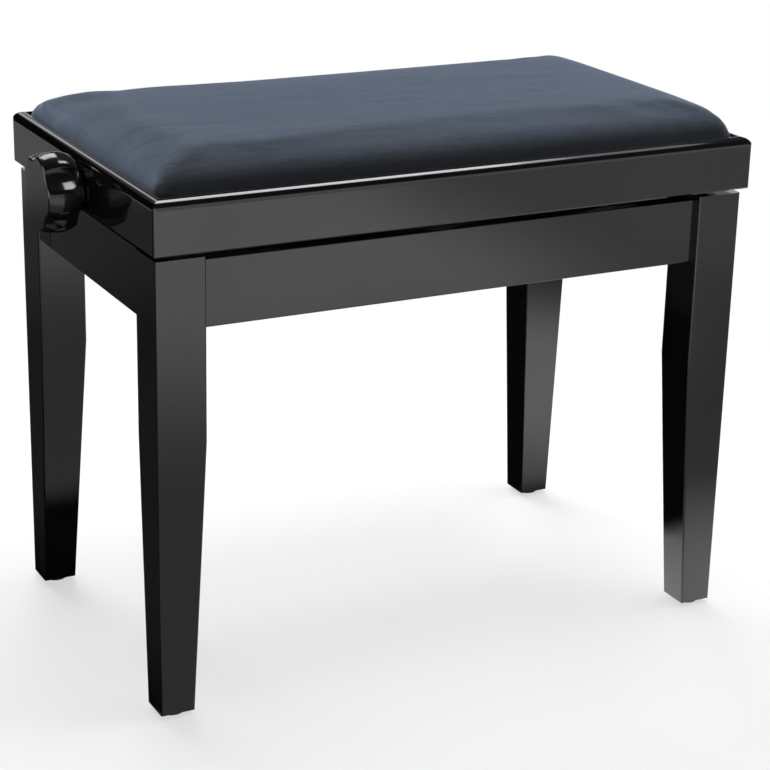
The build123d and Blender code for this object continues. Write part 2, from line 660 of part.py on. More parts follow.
def build_spindle():
    """Spindle from knob to knob, with thrust collars inside the side rails."""
    with BuildPart() as spindle:
        with BuildSketch(Plane.YZ):
            with Locations((0, upper_pivot_z)):
                Circle(SPINDLE_DIAMETER / 2)
        extrude(amount=spindle_half, both=True)
    write(spindle, "spindle")
    collar_x = rail_inner_x - SIDE_PLAY
    with BuildPart() as collars:
        for side in ENDS.values():
            with BuildSketch(Plane(origin=(side * collar_x, 0, upper_pivot_z), z_dir=(-side, 0, 0))):
                Circle(COLLAR_DIAMETER / 2)
                Circle(SPINDLE_DIAMETER / 2 + FIXED_FIT, mode=Mode.SUBTRACT)
        extrude(amount=COLLAR_LENGTH)
        with Locations(*grub_planes(collar_x - COLLAR_LENGTH / 2)):
            Cylinder(GRUB_DIAMETER / 2 + FIXED_FIT, COLLAR_DIAMETER, align=FROM_PLANE, mode=Mode.SUBTRACT)
    write(collars, "spindle_collars")
    grub_lengths = {
        collar_x - COLLAR_LENGTH / 2: (COLLAR_DIAMETER - SPINDLE_DIAMETER) / 2,
        knob_back_x + HUB_LENGTH / 2: (HUB_DIAMETER - SPINDLE_DIAMETER) / 2,
    }
    with BuildPart() as grubs:
        for x, length in grub_lengths.items():
            with Locations(*[plane.offset(SPINDLE_DIAMETER / 2) for plane in grub_planes(x)]):
                Cylinder(GRUB_DIAMETER / 2, length - SIDE_PLAY, align=FROM_PLANE)
    write(grubs, "grub_screws")


def grub_planes(x):
    """Planes on the spindle's axis at this distance to either side, facing down."""
    return [Plane(origin=(side * x, 0, upper_pivot_z), z_dir=(0, 0, -1)) for side in ENDS.values()]


def groove_planes(back, phase):
    """Planes of the ring-shaped grooves of a knob, each through the knob's axis and one groove."""
    planes = []
    for lobe in range(KNOB_LOBES):
        angle = phase + (lobe + 0.5) * 360 / KNOB_LOBES
        outward = back.x_dir.rotate(Axis((0, 0, 0), back.z_dir), angle)
        bottom = KNOB_DIAMETER / 2 - KNOB_GROOVE_DEPTH
        centre = back.origin + back.z_dir * knob_widest + outward * (bottom - KNOB_GROOVE_BEND)
        planes.append(Plane(origin=centre, x_dir=back.z_dir, z_dir=back.z_dir.cross(outward)))
    return planes


def build_knob(end):
    """Barrel shaped star knob with rounded lobes and a plain hub, on one end of the spindle."""
    side = ENDS[end]
    back = Plane(origin=(side * knob_back_x, 0, upper_pivot_z), x_dir=(0, side, 0), z_dir=(side, 0, 0))
    ring_radius = KNOB_GROOVE_BEND + KNOB_GROOVE_RADIUS
    with BuildPart() as knob:
        with BuildSketch(Plane(origin=back.origin, x_dir=back.z_dir, z_dir=back.y_dir)):
            with BuildLine():
                barrel = ThreePointArc(
                    (HUB_LENGTH, KNOB_BACK_DIAMETER / 2),
                    (knob_widest, KNOB_DIAMETER / 2),
                    (knob_length, KNOB_FACE_DIAMETER / 2),
                )
                Polyline(barrel @ 1, (knob_length, 0), (HUB_LENGTH, 0), barrel @ 0)
            make_face()
        revolve(axis=Axis(back.origin, back.z_dir))
        with Locations(*groove_planes(back, KNOB_PHASE[end])):
            Torus(ring_radius, KNOB_GROOVE_RADIUS, major_angle=180, align=None, mode=Mode.SUBTRACT)
        ridges = knob.edges().filter_by(lambda edge: edge.bounding_box().size.X > KNOB_DEPTH / 2)
        fillet(ridges, KNOB_LOBE_ROUND)
        ends = knob.faces().filter_by(Axis.X).sort_by(lambda face: side * face.center().X)
        fillet(ends[-1].edges(), KNOB_FACE_EDGE)
        ends = knob.faces().filter_by(Axis.X).sort_by(lambda face: side * face.center().X)
        fillet(ends[0].edges(), KNOB_BACK_EDGE)
        with BuildSketch(back):
            Circle(HUB_DIAMETER / 2)
        extrude(amount=HUB_LENGTH)
        with BuildSketch(back):
            Circle(SPINDLE_DIAMETER / 2 + FIXED_FIT)
        extrude(amount=KNOB_BORE_DEPTH, mode=Mode.SUBTRACT)
        hub_middle = Plane(origin=(side * (knob_back_x + HUB_LENGTH / 2), 0, upper_pivot_z), z_dir=(0, 0, -1))
        with Locations(hub_middle):
            Cylinder(GRUB_DIAMETER / 2 + FIXED_FIT, HUB_DIAMETER / 2, align=FROM_PLANE, mode=Mode.SUBTRACT)
    write(knob, f"knob_{end}")


os.makedirs("parts", exist_ok=True)
for corner in CORNERS:
    build_leg(corner)
    build_corner_block(corner)
    build_seat_block(corner)
for side in INWARD:
    build_apron(side)
    build_rail(side)
build_leg_fasteners()
build_glides()
build_seat()
build_seat_screws()

lower_screw_planes = []
upper_screw_planes = []
for row in ROWS:
    lower_planes = web_planes(row, apron_inner_y, lower_pivot_z)
    upper_planes = flange_planes(row)
    build_channel(row, lower_pivot_z, f"lower_channel_{row}", lower_planes)
    build_channel(row, upper_pivot_z, f"upper_channel_{row}", upper_planes)
    lower_screw_planes.extend(lower_planes)
    upper_screw_planes.extend(upper_planes)
    build_outer_arm(row)
    build_inner_arm(row)
build_channel_screws(lower_screw_planes, "lower_channel_screws")
build_channel_screws(upper_screw_planes, "upper_channel_screws")
build_pivot_rivets(lower_pivot_z, outer_arm_y, "lower_pivot_rivets")
build_pivot_rivets(upper_pivot_z, inner_arm_y, "upper_pivot_rivets")
build_scissor_rivets()
build_lower_axle()
build_traveller()
build_guides(lower_pivot_z, "lower_guides")
build_guides(upper_pivot_z, "traveller_guides")
build_spindle()
for end in ENDS:
    build_bush(end)
    build_knob(end)
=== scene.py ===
"""Finishes, padded seat, screw thread and studio for a height-adjustable piano bench, in metres."""
import json
import logging
import math
from dataclasses import dataclass
from enum import Enum
from typing import Callable

import bpy
from mathutils import Matrix, Vector


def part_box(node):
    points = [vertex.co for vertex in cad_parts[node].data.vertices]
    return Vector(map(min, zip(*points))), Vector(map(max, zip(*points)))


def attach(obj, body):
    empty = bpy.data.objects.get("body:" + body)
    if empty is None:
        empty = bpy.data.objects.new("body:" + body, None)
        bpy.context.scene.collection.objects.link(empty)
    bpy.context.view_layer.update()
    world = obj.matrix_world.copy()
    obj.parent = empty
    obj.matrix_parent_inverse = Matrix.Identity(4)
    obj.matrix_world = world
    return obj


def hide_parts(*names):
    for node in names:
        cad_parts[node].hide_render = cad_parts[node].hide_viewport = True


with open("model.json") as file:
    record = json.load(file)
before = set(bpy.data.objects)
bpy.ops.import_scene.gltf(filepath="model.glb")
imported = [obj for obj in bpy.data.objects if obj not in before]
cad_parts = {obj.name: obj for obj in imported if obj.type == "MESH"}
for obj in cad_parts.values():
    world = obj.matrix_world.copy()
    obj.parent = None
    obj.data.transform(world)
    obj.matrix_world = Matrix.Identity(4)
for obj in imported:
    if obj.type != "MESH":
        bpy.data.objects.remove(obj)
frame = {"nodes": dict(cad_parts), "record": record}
log = logging.getLogger("piano_bench")

Colour = tuple[float, float, float]
Point = tuple[float, float, float]
Span = tuple[float, float]
Ring = tuple[float, float, float, float]
Socket = bpy.types.NodeSocket
Piece = bpy.types.Object

FULL: Span = (0.0, 1.0)


class Slot(Enum):
    """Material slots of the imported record."""

    LACQUER = "lacquer"
    BEECH = "beech"
    PLYWOOD = "plywood"
    VELOUR = "velour"
    FOAM = "foam"
    STEEL = "steel"
    BLACK_STEEL = "black_steel"
    KNOB = "knob"
    NYLON = "nylon"


class Body(Enum):
    """Bodies of the bench that new pieces ride on."""

    SEAT = "seat"
    SPINDLE = "spindle"


class Effect(Enum):
    """Surface effects that several finishes share."""

    MOTTLE = "mottle"
    EDGE_WEAR = "edge_wear"
    DUST = "dust"
    HAIRLINES = "hairlines"
    WOOD_GRAIN = "wood_grain"
    PILE = "pile"
    CELLS = "cells"


def rgba(colour: Colour) -> tuple[float, float, float, float]:
    """Colour with full alpha, as a colour socket takes it."""
    return (*colour, 1.0)


class Graph:
    """A shader node tree that is filled step by step."""

    def __init__(self, tree: bpy.types.NodeTree) -> None:
        """Start with an empty tree.

        Args:
            tree: Node tree of a material, a world or a group.
        """
        self.tree = tree
        tree.nodes.clear()

    def feed(self, target: Socket, value: object) -> None:
        """Set a socket, or link it where the value is another socket.

        Args:
            target: Input socket.
            value: Number, vector, colour or output socket.
        """
        if isinstance(value, bpy.types.NodeSocket):
            self.tree.links.new(value, target)
        else:
            target.default_value = value

    def add(self, kind: str, inputs: dict | None = None, **settings: object) -> bpy.types.Node:
        """Add one node.

        Args:
            kind: Node type without its leading ShaderNode.
            inputs: Input name or number, with the value or socket that it takes.
            settings: Properties of the node.

        Returns:
            The new node.
        """
        node = self.tree.nodes.new("ShaderNode" + kind)
        for name, value in settings.items():
            setattr(node, name, value)
        for key, value in (inputs or {}).items():
            self.feed(node.inputs[key], value)
        return node

    def math(self, operation: str, first: object, second: object = 0.0, clamp: bool = False) -> Socket:
        """Add a math node.

        Args:
            operation: Name of the operation.
            first: First value or socket.
            second: Second value or socket.
            clamp: Whether the result is held between 0 and 1.

        Returns:
            The result's socket.
        """
        node = self.add("Math", {0: first, 1: second}, operation=operation, use_clamp=clamp)
        return node.outputs[0]

    def vector_math(self, operation: str, first: object, second: object) -> bpy.types.Node:
        """Add a vector math node.

        Args:
            operation: Name of the operation.
            first: First vector or socket.
            second: Second vector or socket.

        Returns:
            The node.
        """
        return self.add("VectorMath", {0: first, 1: second}, operation=operation)

    def remap(self, value: Socket, source: Span, target: Span = FULL) -> Socket:
        """Map a range smoothly to another one.

        Args:
            value: Socket with the value.
            source: Ends of the range that comes in.
            target: Ends of the range that goes out.

        Returns:
            The result's socket.
        """
        node = self.add("MapRange", {"Value": value}, interpolation_type="SMOOTHSTEP")
        node.inputs["From Min"].default_value, node.inputs["From Max"].default_value = source
        node.inputs["To Min"].default_value, node.inputs["To Max"].default_value = target
        return node.outputs["Result"]

    def mix(self, factor: Socket, low: object, high: object) -> Socket:
        """Mix two colours.

        Args:
            factor: Socket from 0 to 1.
            low: Colour or socket at 0.
            high: Colour or socket at 1.

        Returns:
            The mixed colour's socket.
        """
        node = self.add("Mix", data_type="RGBA")
        self.feed(node.inputs["Factor"], factor)
        self.feed(node.inputs[6], low if isinstance(low, bpy.types.NodeSocket) else rgba(low))
        self.feed(node.inputs[7], high if isinstance(high, bpy.types.NodeSocket) else rgba(high))
        return node.outputs[2]

    def noise(self, vector: Socket, scale: object, detail: object = 2.0) -> Socket:
        """Add a noise texture.

        Args:
            vector: Coordinates.
            scale: Repeats per metre.
            detail: Finer layers.

        Returns:
            The noise value's socket.
        """
        return self.add("TexNoise", {"Vector": vector, "Scale": scale, "Detail": detail}).outputs[0]

    def place(self) -> Socket:
        """Object coordinates, which are the bench's own frame."""
        return self.add("TexCoord").outputs["Object"]

    def glow(self, level: object) -> None:
        """Let the material give light at a level, which is a number or a socket."""
        emission = self.add("Emission", {"Strength": level})
        self.add("OutputMaterial", {"Surface": emission.outputs[0]})


class GroupGraph(Graph):
    """Graph of a node group with named inputs and outputs."""

    def __init__(self, name: str, inputs: dict[str, object], outputs: tuple[str, ...]) -> None:
        """Make the group and its sockets.

        Args:
            name: The group's name.
            inputs: Input names with their usual values, numbers or vectors.
            outputs: Names of the values that the group gives.
        """
        super().__init__(bpy.data.node_groups.new(name, "ShaderNodeTree"))
        for label, value in inputs.items():
            kind = "NodeSocketVector" if isinstance(value, tuple) else "NodeSocketFloat"
            socket = self.tree.interface.new_socket(label, in_out="INPUT", socket_type=kind)
            socket.default_value = value
        for label in outputs:
            self.tree.interface.new_socket(label, in_out="OUTPUT", socket_type="NodeSocketFloat")
        self.given = self.tree.nodes.new("NodeGroupInput").outputs
        self.results = self.tree.nodes.new("NodeGroupOutput").inputs

    def give(self, label: str, value: Socket) -> None:
        """Link a value to an output of the group."""
        self.feed(self.results[label], value)


class Effects:
    """The shared effects as node groups, each built once.

    The spans say between which noise values, or other values, an effect comes in.
    """

    CORE: Span = (0.3, 0.7)
    EDGE_TURN: Span = (0.99, 0.86)
    EDGE_GAPS: Span = (0.35, 0.65)
    FACING_UP: Span = (0.55, 0.98)
    CLOUD: Span = (0.3, 0.75)
    CLOUD_LEVEL: Span = (0.15, 0.6)
    SPECK: Span = (0.66, 0.74)
    SPECK_SCALE: float = 1900.0
    HAIR_WIDTH: Span = (0.0, 0.006)
    HAIR_PATCH: Span = (0.5, 0.62)
    HAIR_PATCH_SCALE: float = 11.0
    BAND_TURNS: float = 46.0
    PORE: Span = (0.62, 0.7)
    PORE_SCALE: float = 26.0
    FIBRE_SCALE: float = 60.0
    TUFT: Span = (0.28, 0.72)
    CELL_REACH: Span = (0.0, 0.7)

    def __init__(self) -> None:
        """Start with no group built."""
        self._built: dict[Effect, bpy.types.NodeTree] = {}

    def tree(self, effect: Effect) -> bpy.types.NodeTree:
        """Give an effect's group, built at its first use.

        Args:
            effect: The effect.

        Returns:
            Its node tree.
        """
        if effect not in self._built:
            self._built[effect] = getattr(self, "_" + effect.value)().tree
        return self._built[effect]

    def _mottle(self) -> GroupGraph:
        """Soft uneven patches of any size, from smears to the ripple of a sprayed coat."""
        usual = {"Scale": 40.0, "Detail": 2.0, "Stretch": (1.0, 1.0, 1.0)}
        graph = GroupGraph("mottle", usual, ("Value",))
        stretched = graph.vector_math("MULTIPLY", graph.place(), graph.given["Stretch"]).outputs[0]
        value = graph.noise(stretched, graph.given["Scale"], graph.given["Detail"])
        graph.give("Value", graph.remap(value, self.CORE))
        return graph

    def _edge_wear(self) -> GroupGraph:
        """Rubbed edges, broken up by noise."""
        graph = GroupGraph("edge_wear", {"Radius": 0.001, "Amount": 1.0, "Scale": 90.0}, ("Mask",))
        rounded = graph.add("Bevel", {"Radius": graph.given["Radius"]}, samples=6).outputs[0]
        flat = graph.add("NewGeometry").outputs["Normal"]
        agreement = graph.vector_math("DOT_PRODUCT", rounded, flat).outputs["Value"]
        edge = graph.remap(agreement, self.EDGE_TURN)
        broken = graph.remap(graph.noise(graph.place(), graph.given["Scale"], 4.0), self.EDGE_GAPS)
        rubbed = graph.math("MULTIPLY", edge, broken)
        graph.give("Mask", graph.math("MULTIPLY", rubbed, graph.given["Amount"]))
        return graph

    def _dust(self) -> GroupGraph:
        """Fine dust on faces that look up, in clouds with a few specks."""
        graph = GroupGraph("dust", {"Amount": 1.0, "Scale": 14.0}, ("Mask",))
        normal = graph.add("SeparateXYZ", {0: graph.add("NewGeometry").outputs["Normal"]})
        upward = graph.remap(normal.outputs["Z"], self.FACING_UP)
        place = graph.place()
        cloud = graph.remap(graph.noise(place, graph.given["Scale"], 3.0), self.CLOUD, self.CLOUD_LEVEL)
        speck = graph.remap(graph.noise(place, self.SPECK_SCALE, 1.0), self.SPECK)
        fallen = graph.math("MULTIPLY", upward, graph.math("ADD", cloud, speck))
        graph.give("Mask", graph.math("MULTIPLY", fallen, graph.given["Amount"], clamp=True))
        return graph

    def _hairlines(self) -> GroupGraph:
        """Thin long scratches: level lines of a stretched noise, shown in patches."""
        usual = {"Scale": 18.0, "Amount": 1.0, "Stretch": (1.0, 1.0, 1.0)}
        graph = GroupGraph("hairlines", usual, ("Mask",))
        place = graph.place()
        stretched = graph.vector_math("MULTIPLY", place, graph.given["Stretch"]).outputs[0]
        level = graph.math("SUBTRACT", graph.noise(stretched, graph.given["Scale"], 3.0), 0.5)
        line = graph.remap(graph.math("ABSOLUTE", level), self.HAIR_WIDTH, (1.0, 0.0))
        patch = graph.remap(graph.noise(place, self.HAIR_PATCH_SCALE), self.HAIR_PATCH)
        shown = graph.math("MULTIPLY", line, patch)
        graph.give("Mask", graph.math("MULTIPLY", shown, graph.given["Amount"]))
        return graph

    def _wood_grain(self) -> GroupGraph:
        """Growth bands, short pores and fibres along one direction."""
        usual = {"Scale": 30.0, "Stretch": (0.06, 1.0, 1.0)}
        graph = GroupGraph("wood_grain", usual, ("Band", "Pore", "Fibre"))
        stretched = graph.vector_math("MULTIPLY", graph.place(), graph.given["Stretch"]).outputs[0]
        wander = graph.noise(stretched, graph.given["Scale"], 3.0)
        band = graph.math("SINE", graph.math("MULTIPLY", wander, self.BAND_TURNS))
        graph.give("Band", graph.remap(band, (-1.0, 1.0)))
        pore = graph.noise(stretched, graph.math("MULTIPLY", graph.given["Scale"], self.PORE_SCALE), 1.0)
        graph.give("Pore", graph.remap(pore, self.PORE))
        fibre = graph.noise(stretched, graph.math("MULTIPLY", graph.given["Scale"], self.FIBRE_SCALE))
        graph.give("Fibre", graph.remap(fibre, self.CORE))
        return graph

    def _pile(self) -> GroupGraph:
        """Short cut pile: single tufts, and the nap's brush marks over them."""
        usual = {"Scale": 1300.0, "Brush": 7.0, "Stretch": (1.0, 3.2, 1.0)}
        graph = GroupGraph("pile", usual, ("Tuft", "Nap"))
        place = graph.place()
        tuft = graph.noise(place, graph.given["Scale"])
        graph.give("Tuft", graph.remap(tuft, self.TUFT))
        stretched = graph.vector_math("MULTIPLY", place, graph.given["Stretch"]).outputs[0]
        nap = graph.noise(stretched, graph.given["Brush"], 5.0)
        graph.give("Nap", graph.remap(nap, self.CORE))
        return graph

    def _cells(self) -> GroupGraph:
        """Open cells of foam, or the flowers of a zinc coat."""
        graph = GroupGraph("cells", {"Scale": 700.0}, ("Depth", "Shade"))
        cell = graph.add("TexVoronoi", {"Vector": graph.place(), "Scale": graph.given["Scale"]})
        graph.give("Depth", graph.remap(cell.outputs["Distance"], self.CELL_REACH))
        shade = graph.add("SeparateColor", {0: cell.outputs["Color"]}).outputs[0]
        graph.give("Shade", shade)
        return graph


class Surface(Graph):
    """A material's graph: one Principled shader and what feeds it."""

    def __init__(self, name: str, effects: Effects, plain: dict[str, object]) -> None:
        """Make the material with its plain values.

        Args:
            name: The material's name.
            effects: Shared node groups.
            plain: Principled sockets whose value is the same all over.
        """
        self.material = bpy.data.materials.new(name)
        self.material.use_nodes = True
        super().__init__(self.material.node_tree)
        self.effects = effects
        self.shader = self.add("BsdfPrincipled", plain)
        self.add("OutputMaterial", {"Surface": self.shader.outputs[0]})

    def effect(self, effect: Effect, **values: object) -> bpy.types.bpy_prop_collection:
        """Place a shared effect in this material.

        Args:
            effect: The effect.
            values: Its input values by name.

        Returns:
            Its outputs.
        """
        node = self.add("Group", node_tree=self.effects.tree(effect))
        for name, value in values.items():
            node.inputs[name].default_value = value
        return node.outputs

    def set(self, name: str, value: Socket) -> None:
        """Link a value that changes over the surface to the shader."""
        self.feed(self.shader.inputs[name], value)

    def total(self, base: float, *terms: tuple[float, Socket]) -> Socket:
        """Add weighted values to a base value.

        Args:
            base: Value where all terms are 0.
            terms: Weights, each with a socket.

        Returns:
            The sum's socket.
        """
        result: object = base
        for weight, term in terms:
            result = self.add("Math", {0: term, 1: weight, 2: result}, operation="MULTIPLY_ADD").outputs[0]
        return result

    def bumps(self, *layers: tuple[Socket, float]) -> None:
        """Stack bump layers into the shader's normal.

        Args:
            layers: Heights from 0 to 1, each with its real depth in metres.
        """
        normal = None
        for height, depth in layers:
            node = self.add("Bump", {"Height": height, "Distance": depth, "Strength": 1.0})
            if normal is not None:
                self.feed(node.inputs["Normal"], normal)
            normal = node.outputs[0]
        self.set("Normal", normal)


@dataclass(frozen=True)
class Lacquer:
    """Black polished lacquer over wood."""

    colour: Colour = (0.0035, 0.0034, 0.0034)
    edge_colour: Colour = (0.016, 0.012, 0.010)
    dust_colour: Colour = (0.16, 0.155, 0.15)
    roughness: float = 0.035
    coat: float = 0.35

    def material(self, effects: Effects) -> bpy.types.Material:
        """Make the material.

        Args:
            effects: Shared node groups.

        Returns:
            The material.
        """
        plain = {"IOR": 1.5, "Coat Roughness": 0.02, "Coat IOR": 1.5}
        surface = Surface("black_lacquer", effects, plain)
        smear = surface.effect(Effect.MOTTLE, Scale=7.0, Detail=4.0)["Value"]
        peel = surface.effect(Effect.MOTTLE, Scale=240.0, Detail=1.0)["Value"]
        sink = surface.effect(Effect.MOTTLE, Scale=16.0, Detail=1.0)["Value"]
        hair = surface.effect(Effect.HAIRLINES, Scale=26.0, Stretch=(1.0, 0.35, 0.22))["Mask"]
        edge = surface.effect(Effect.EDGE_WEAR, Radius=0.0012, Amount=0.6)["Mask"]
        dust = surface.effect(Effect.DUST, Amount=0.09)["Mask"]
        worn = surface.mix(edge, self.colour, self.edge_colour)
        surface.set("Base Color", surface.mix(dust, worn, self.dust_colour))
        surface.set("Roughness", surface.total(self.roughness, (0.03, smear), (0.1, hair), (0.5, dust)))
        surface.set("Coat Weight", surface.total(self.coat, (-0.1, smear), (-0.2, dust)))
        surface.bumps((sink, 0.00003), (peel, 0.0000012))
        return surface.material


@dataclass(frozen=True)
class KnobGloss:
    """Black glossy moulding of the knobs."""

    colour: Colour = (0.0045, 0.0045, 0.0047)
    edge_colour: Colour = (0.02, 0.02, 0.02)
    dust_colour: Colour = (0.16, 0.155, 0.15)
    roughness: float = 0.11

    def material(self, effects: Effects) -> bpy.types.Material:
        """Make the material.

        Args:
            effects: Shared node groups.

        Returns:
            The material.
        """
        surface = Surface("knob_gloss", effects, {"IOR": 1.45, "Coat Weight": 0.1, "Coat Roughness": 0.03})
        print_mark = surface.effect(Effect.MOTTLE, Scale=55.0, Detail=4.0)["Value"]
        flow = surface.effect(Effect.MOTTLE, Scale=130.0, Detail=1.0)["Value"]
        hair = surface.effect(Effect.HAIRLINES, Scale=70.0, Stretch=(1.0, 1.0, 0.3))["Mask"]
        edge = surface.effect(Effect.EDGE_WEAR, Radius=0.0015, Amount=0.5)["Mask"]
        dust = surface.effect(Effect.DUST, Amount=0.08)["Mask"]
        worn = surface.mix(edge, self.colour, self.edge_colour)
        surface.set("Base Color", surface.mix(dust, worn, self.dust_colour))
        surface.set("Roughness", surface.total(self.roughness, (0.05, print_mark), (0.12, hair), (0.4, dust)))
        surface.bumps((flow, 0.000006))
        return surface.material


@dataclass(frozen=True)
class Velour:
    """Blue-black velour with a short pile."""

    dark: Colour = (0.0055, 0.0062, 0.0078)
    light: Colour = (0.011, 0.0128, 0.0165)
    sheen_tint: Colour = (0.56, 0.72, 1.0)
    sheen: float = 1.0
    sheen_roughness: float = 0.3

    def material(self, effects: Effects) -> bpy.types.Material:
        """Make the material.

        Args:
            effects: Shared node groups.

        Returns:
            The material.
        """
        plain = {
            "Specular IOR Level": 0.15,
            "Sheen Weight": self.sheen,
            "Sheen Roughness": self.sheen_roughness,
            "Sheen Tint": rgba(self.sheen_tint),
        }
        surface = Surface("velour", effects, plain)
        pile = surface.effect(Effect.PILE)
        smear = surface.effect(Effect.MOTTLE, Scale=5.0, Detail=3.0, Stretch=(1.0, 2.0, 1.0))["Value"]
        shade = surface.total(0.1, (0.35, pile["Nap"]), (0.35, pile["Tuft"]), (0.2, smear))
        surface.set("Base Color", surface.mix(shade, self.dark, self.light))
        surface.set("Roughness", surface.total(0.82, (0.12, pile["Nap"])))
        surface.bumps((pile["Nap"], 0.0006), (pile["Tuft"], 0.00025))
        return surface.material


@dataclass(frozen=True)
class Foam:
    """Pale open-cell seat foam, with painted shade in its cells' hollows."""

    colour: Colour = (0.74, 0.66, 0.42)
    pore_shade: Colour = (0.42, 0.34, 0.18)

    def material(self, effects: Effects) -> bpy.types.Material:
        """Make the material.

        Args:
            effects: Shared node groups.

        Returns:
            The material.
        """
        surface = Surface("seat_foam", effects, {"Specular IOR Level": 0.2})
        cells = surface.effect(Effect.CELLS, Scale=620.0)
        aged = surface.effect(Effect.MOTTLE, Scale=12.0, Detail=3.0)["Value"]
        # darker where the cells are deep: painted shade in their hollows, plus the foam's own aged tone
        shade = surface.total(0.0, (0.6, cells["Depth"]), (0.2, aged))
        surface.set("Base Color", surface.mix(shade, self.colour, self.pore_shade))
        surface.set("Roughness", surface.total(0.85, (0.1, aged)))
        surface.bumps((cells["Depth"], -0.0006))
        return surface.material


@dataclass(frozen=True)
class ZincSteel:
    """Zinc plated steel of the screws, rivets and spindle."""

    colour: Colour = (0.56, 0.56, 0.55)
    dull: Colour = (0.34, 0.34, 0.33)
    rub: Colour = (0.72, 0.72, 0.71)

    def material(self, effects: Effects) -> bpy.types.Material:
        """Make the material.

        Args:
            effects: Shared node groups.

        Returns:
            The material.
        """
        surface = Surface("zinc_steel", effects, {"Metallic": 1.0})
        flower = surface.effect(Effect.CELLS, Scale=420.0)["Shade"]
        stain = surface.effect(Effect.MOTTLE, Scale=60.0, Detail=5.0)["Value"]
        drawn = surface.effect(Effect.MOTTLE, Scale=900.0, Detail=2.0, Stretch=(0.05, 1.0, 1.0))["Value"]
        edge = surface.effect(Effect.EDGE_WEAR, Radius=0.0006, Amount=0.9, Scale=220.0)["Mask"]
        shade = surface.total(0.0, (0.35, flower), (0.5, stain))
        surface.set("Base Color", surface.mix(edge, surface.mix(shade, self.colour, self.dull), self.rub))
        surface.set("Roughness", surface.total(0.24, (0.1, flower), (0.16, stain), (0.08, drawn)))
        surface.bumps((drawn, 0.000008))
        return surface.material


@dataclass(frozen=True)
class BlackPaint:
    """Satin black paint on the steel channels and arms, rubbed bright at the edges."""

    colour: Colour = (0.014, 0.014, 0.015)
    grey: Colour = (0.03, 0.03, 0.031)
    bare: Colour = (0.42, 0.41, 0.4)
    dust_colour: Colour = (0.2, 0.19, 0.18)

    def material(self, effects: Effects) -> bpy.types.Material:
        """Make the material.

        Args:
            effects: Shared node groups.

        Returns:
            The material.
        """
        surface = Surface("black_paint", effects, {"Specular IOR Level": 0.5})
        grit = surface.effect(Effect.MOTTLE, Scale=1100.0, Detail=1.0)["Value"]
        cloud = surface.effect(Effect.MOTTLE, Scale=22.0, Detail=4.0)["Value"]
        edge = surface.effect(Effect.EDGE_WEAR, Radius=0.0007, Amount=0.75, Scale=160.0)["Mask"]
        hair = surface.effect(Effect.HAIRLINES, Scale=40.0, Stretch=(0.3, 1.0, 1.0))["Mask"]
        dust = surface.effect(Effect.DUST, Amount=0.2)["Mask"]
        painted = surface.mix(cloud, self.colour, self.grey)
        dusty = surface.mix(dust, painted, self.dust_colour)
        surface.set("Base Color", surface.mix(edge, dusty, self.bare))
        surface.set("Metallic", edge)
        surface.set("Roughness", surface.total(0.36, (0.1, cloud), (0.15, hair), (0.3, dust)))
        surface.bumps((grit, 0.00003))
        return surface.material


@dataclass(frozen=True)
class StainedWood:
    """Black stained wood inside the bench, with its grain still showing."""

    name: str
    colour: Colour
    band_colour: Colour
    pore_colour: Colour
    scale: float
    stretch: Point

    def material(self, effects: Effects) -> bpy.types.Material:
        """Make the material.

        Args:
            effects: Shared node groups.

        Returns:
            The material.
        """
        surface = Surface(self.name, effects, {"Specular IOR Level": 0.35})
        grain = surface.effect(Effect.WOOD_GRAIN, Scale=self.scale, Stretch=self.stretch)
        dirt = surface.effect(Effect.MOTTLE, Scale=18.0, Detail=4.0)["Value"]
        band = surface.total(0.0, (0.55, grain["Band"]), (0.2, grain["Fibre"]), (0.15, dirt))
        wood = surface.mix(band, self.colour, self.band_colour)
        surface.set("Base Color", surface.mix(grain["Pore"], wood, self.pore_colour))
        surface.set("Roughness", surface.total(0.5, (0.15, grain["Band"]), (0.15, grain["Fibre"])))
        surface.bumps((grain["Fibre"], 0.00005), (grain["Pore"], -0.00008))
        return surface.material


@dataclass(frozen=True)
class Nylon:
    """Black moulded nylon of the glides, guides and bushes."""

    colour: Colour = (0.012, 0.012, 0.012)
    scuff: Colour = (0.07, 0.068, 0.065)

    def material(self, effects: Effects) -> bpy.types.Material:
        """Make the material.

        Args:
            effects: Shared node groups.

        Returns:
            The material.
        """
        surface = Surface("black_nylon", effects, {"Specular IOR Level": 0.45})
        spark = surface.effect(Effect.MOTTLE, Scale=1600.0, Detail=1.0)["Value"]
        cloud = surface.effect(Effect.MOTTLE, Scale=70.0, Detail=3.0)["Value"]
        edge = surface.effect(Effect.EDGE_WEAR, Radius=0.0008, Amount=0.8, Scale=200.0)["Mask"]
        surface.set("Base Color", surface.mix(edge, self.colour, self.scuff))
        surface.set("Roughness", surface.total(0.42, (0.14, cloud), (0.15, edge)))
        surface.bumps((spark, 0.00003))
        return surface.material


STAINED_BEECH = StainedWood(
    name="stained_beech",
    colour=(0.014, 0.0125, 0.0115),
    band_colour=(0.022, 0.018, 0.015),
    pore_colour=(0.006, 0.005, 0.005),
    scale=34.0,
    stretch=(1.0, 1.0, 0.07),
)
STAINED_PLYWOOD = StainedWood(
    name="stained_plywood",
    colour=(0.016, 0.014, 0.0125),
    band_colour=(0.026, 0.021, 0.017),
    pore_colour=(0.007, 0.006, 0.0055),
    scale=16.0,
    stretch=(0.06, 1.0, 1.0),
)
FINISHES = {
    Slot.LACQUER: Lacquer(),
    Slot.BEECH: STAINED_BEECH,
    Slot.PLYWOOD: STAINED_PLYWOOD,
    Slot.VELOUR: Velour(),
    Slot.FOAM: Foam(),
    Slot.STEEL: ZincSteel(),
    Slot.BLACK_STEEL: BlackPaint(),
    Slot.KNOB: KnobGloss(),
    Slot.NYLON: Nylon(),
}


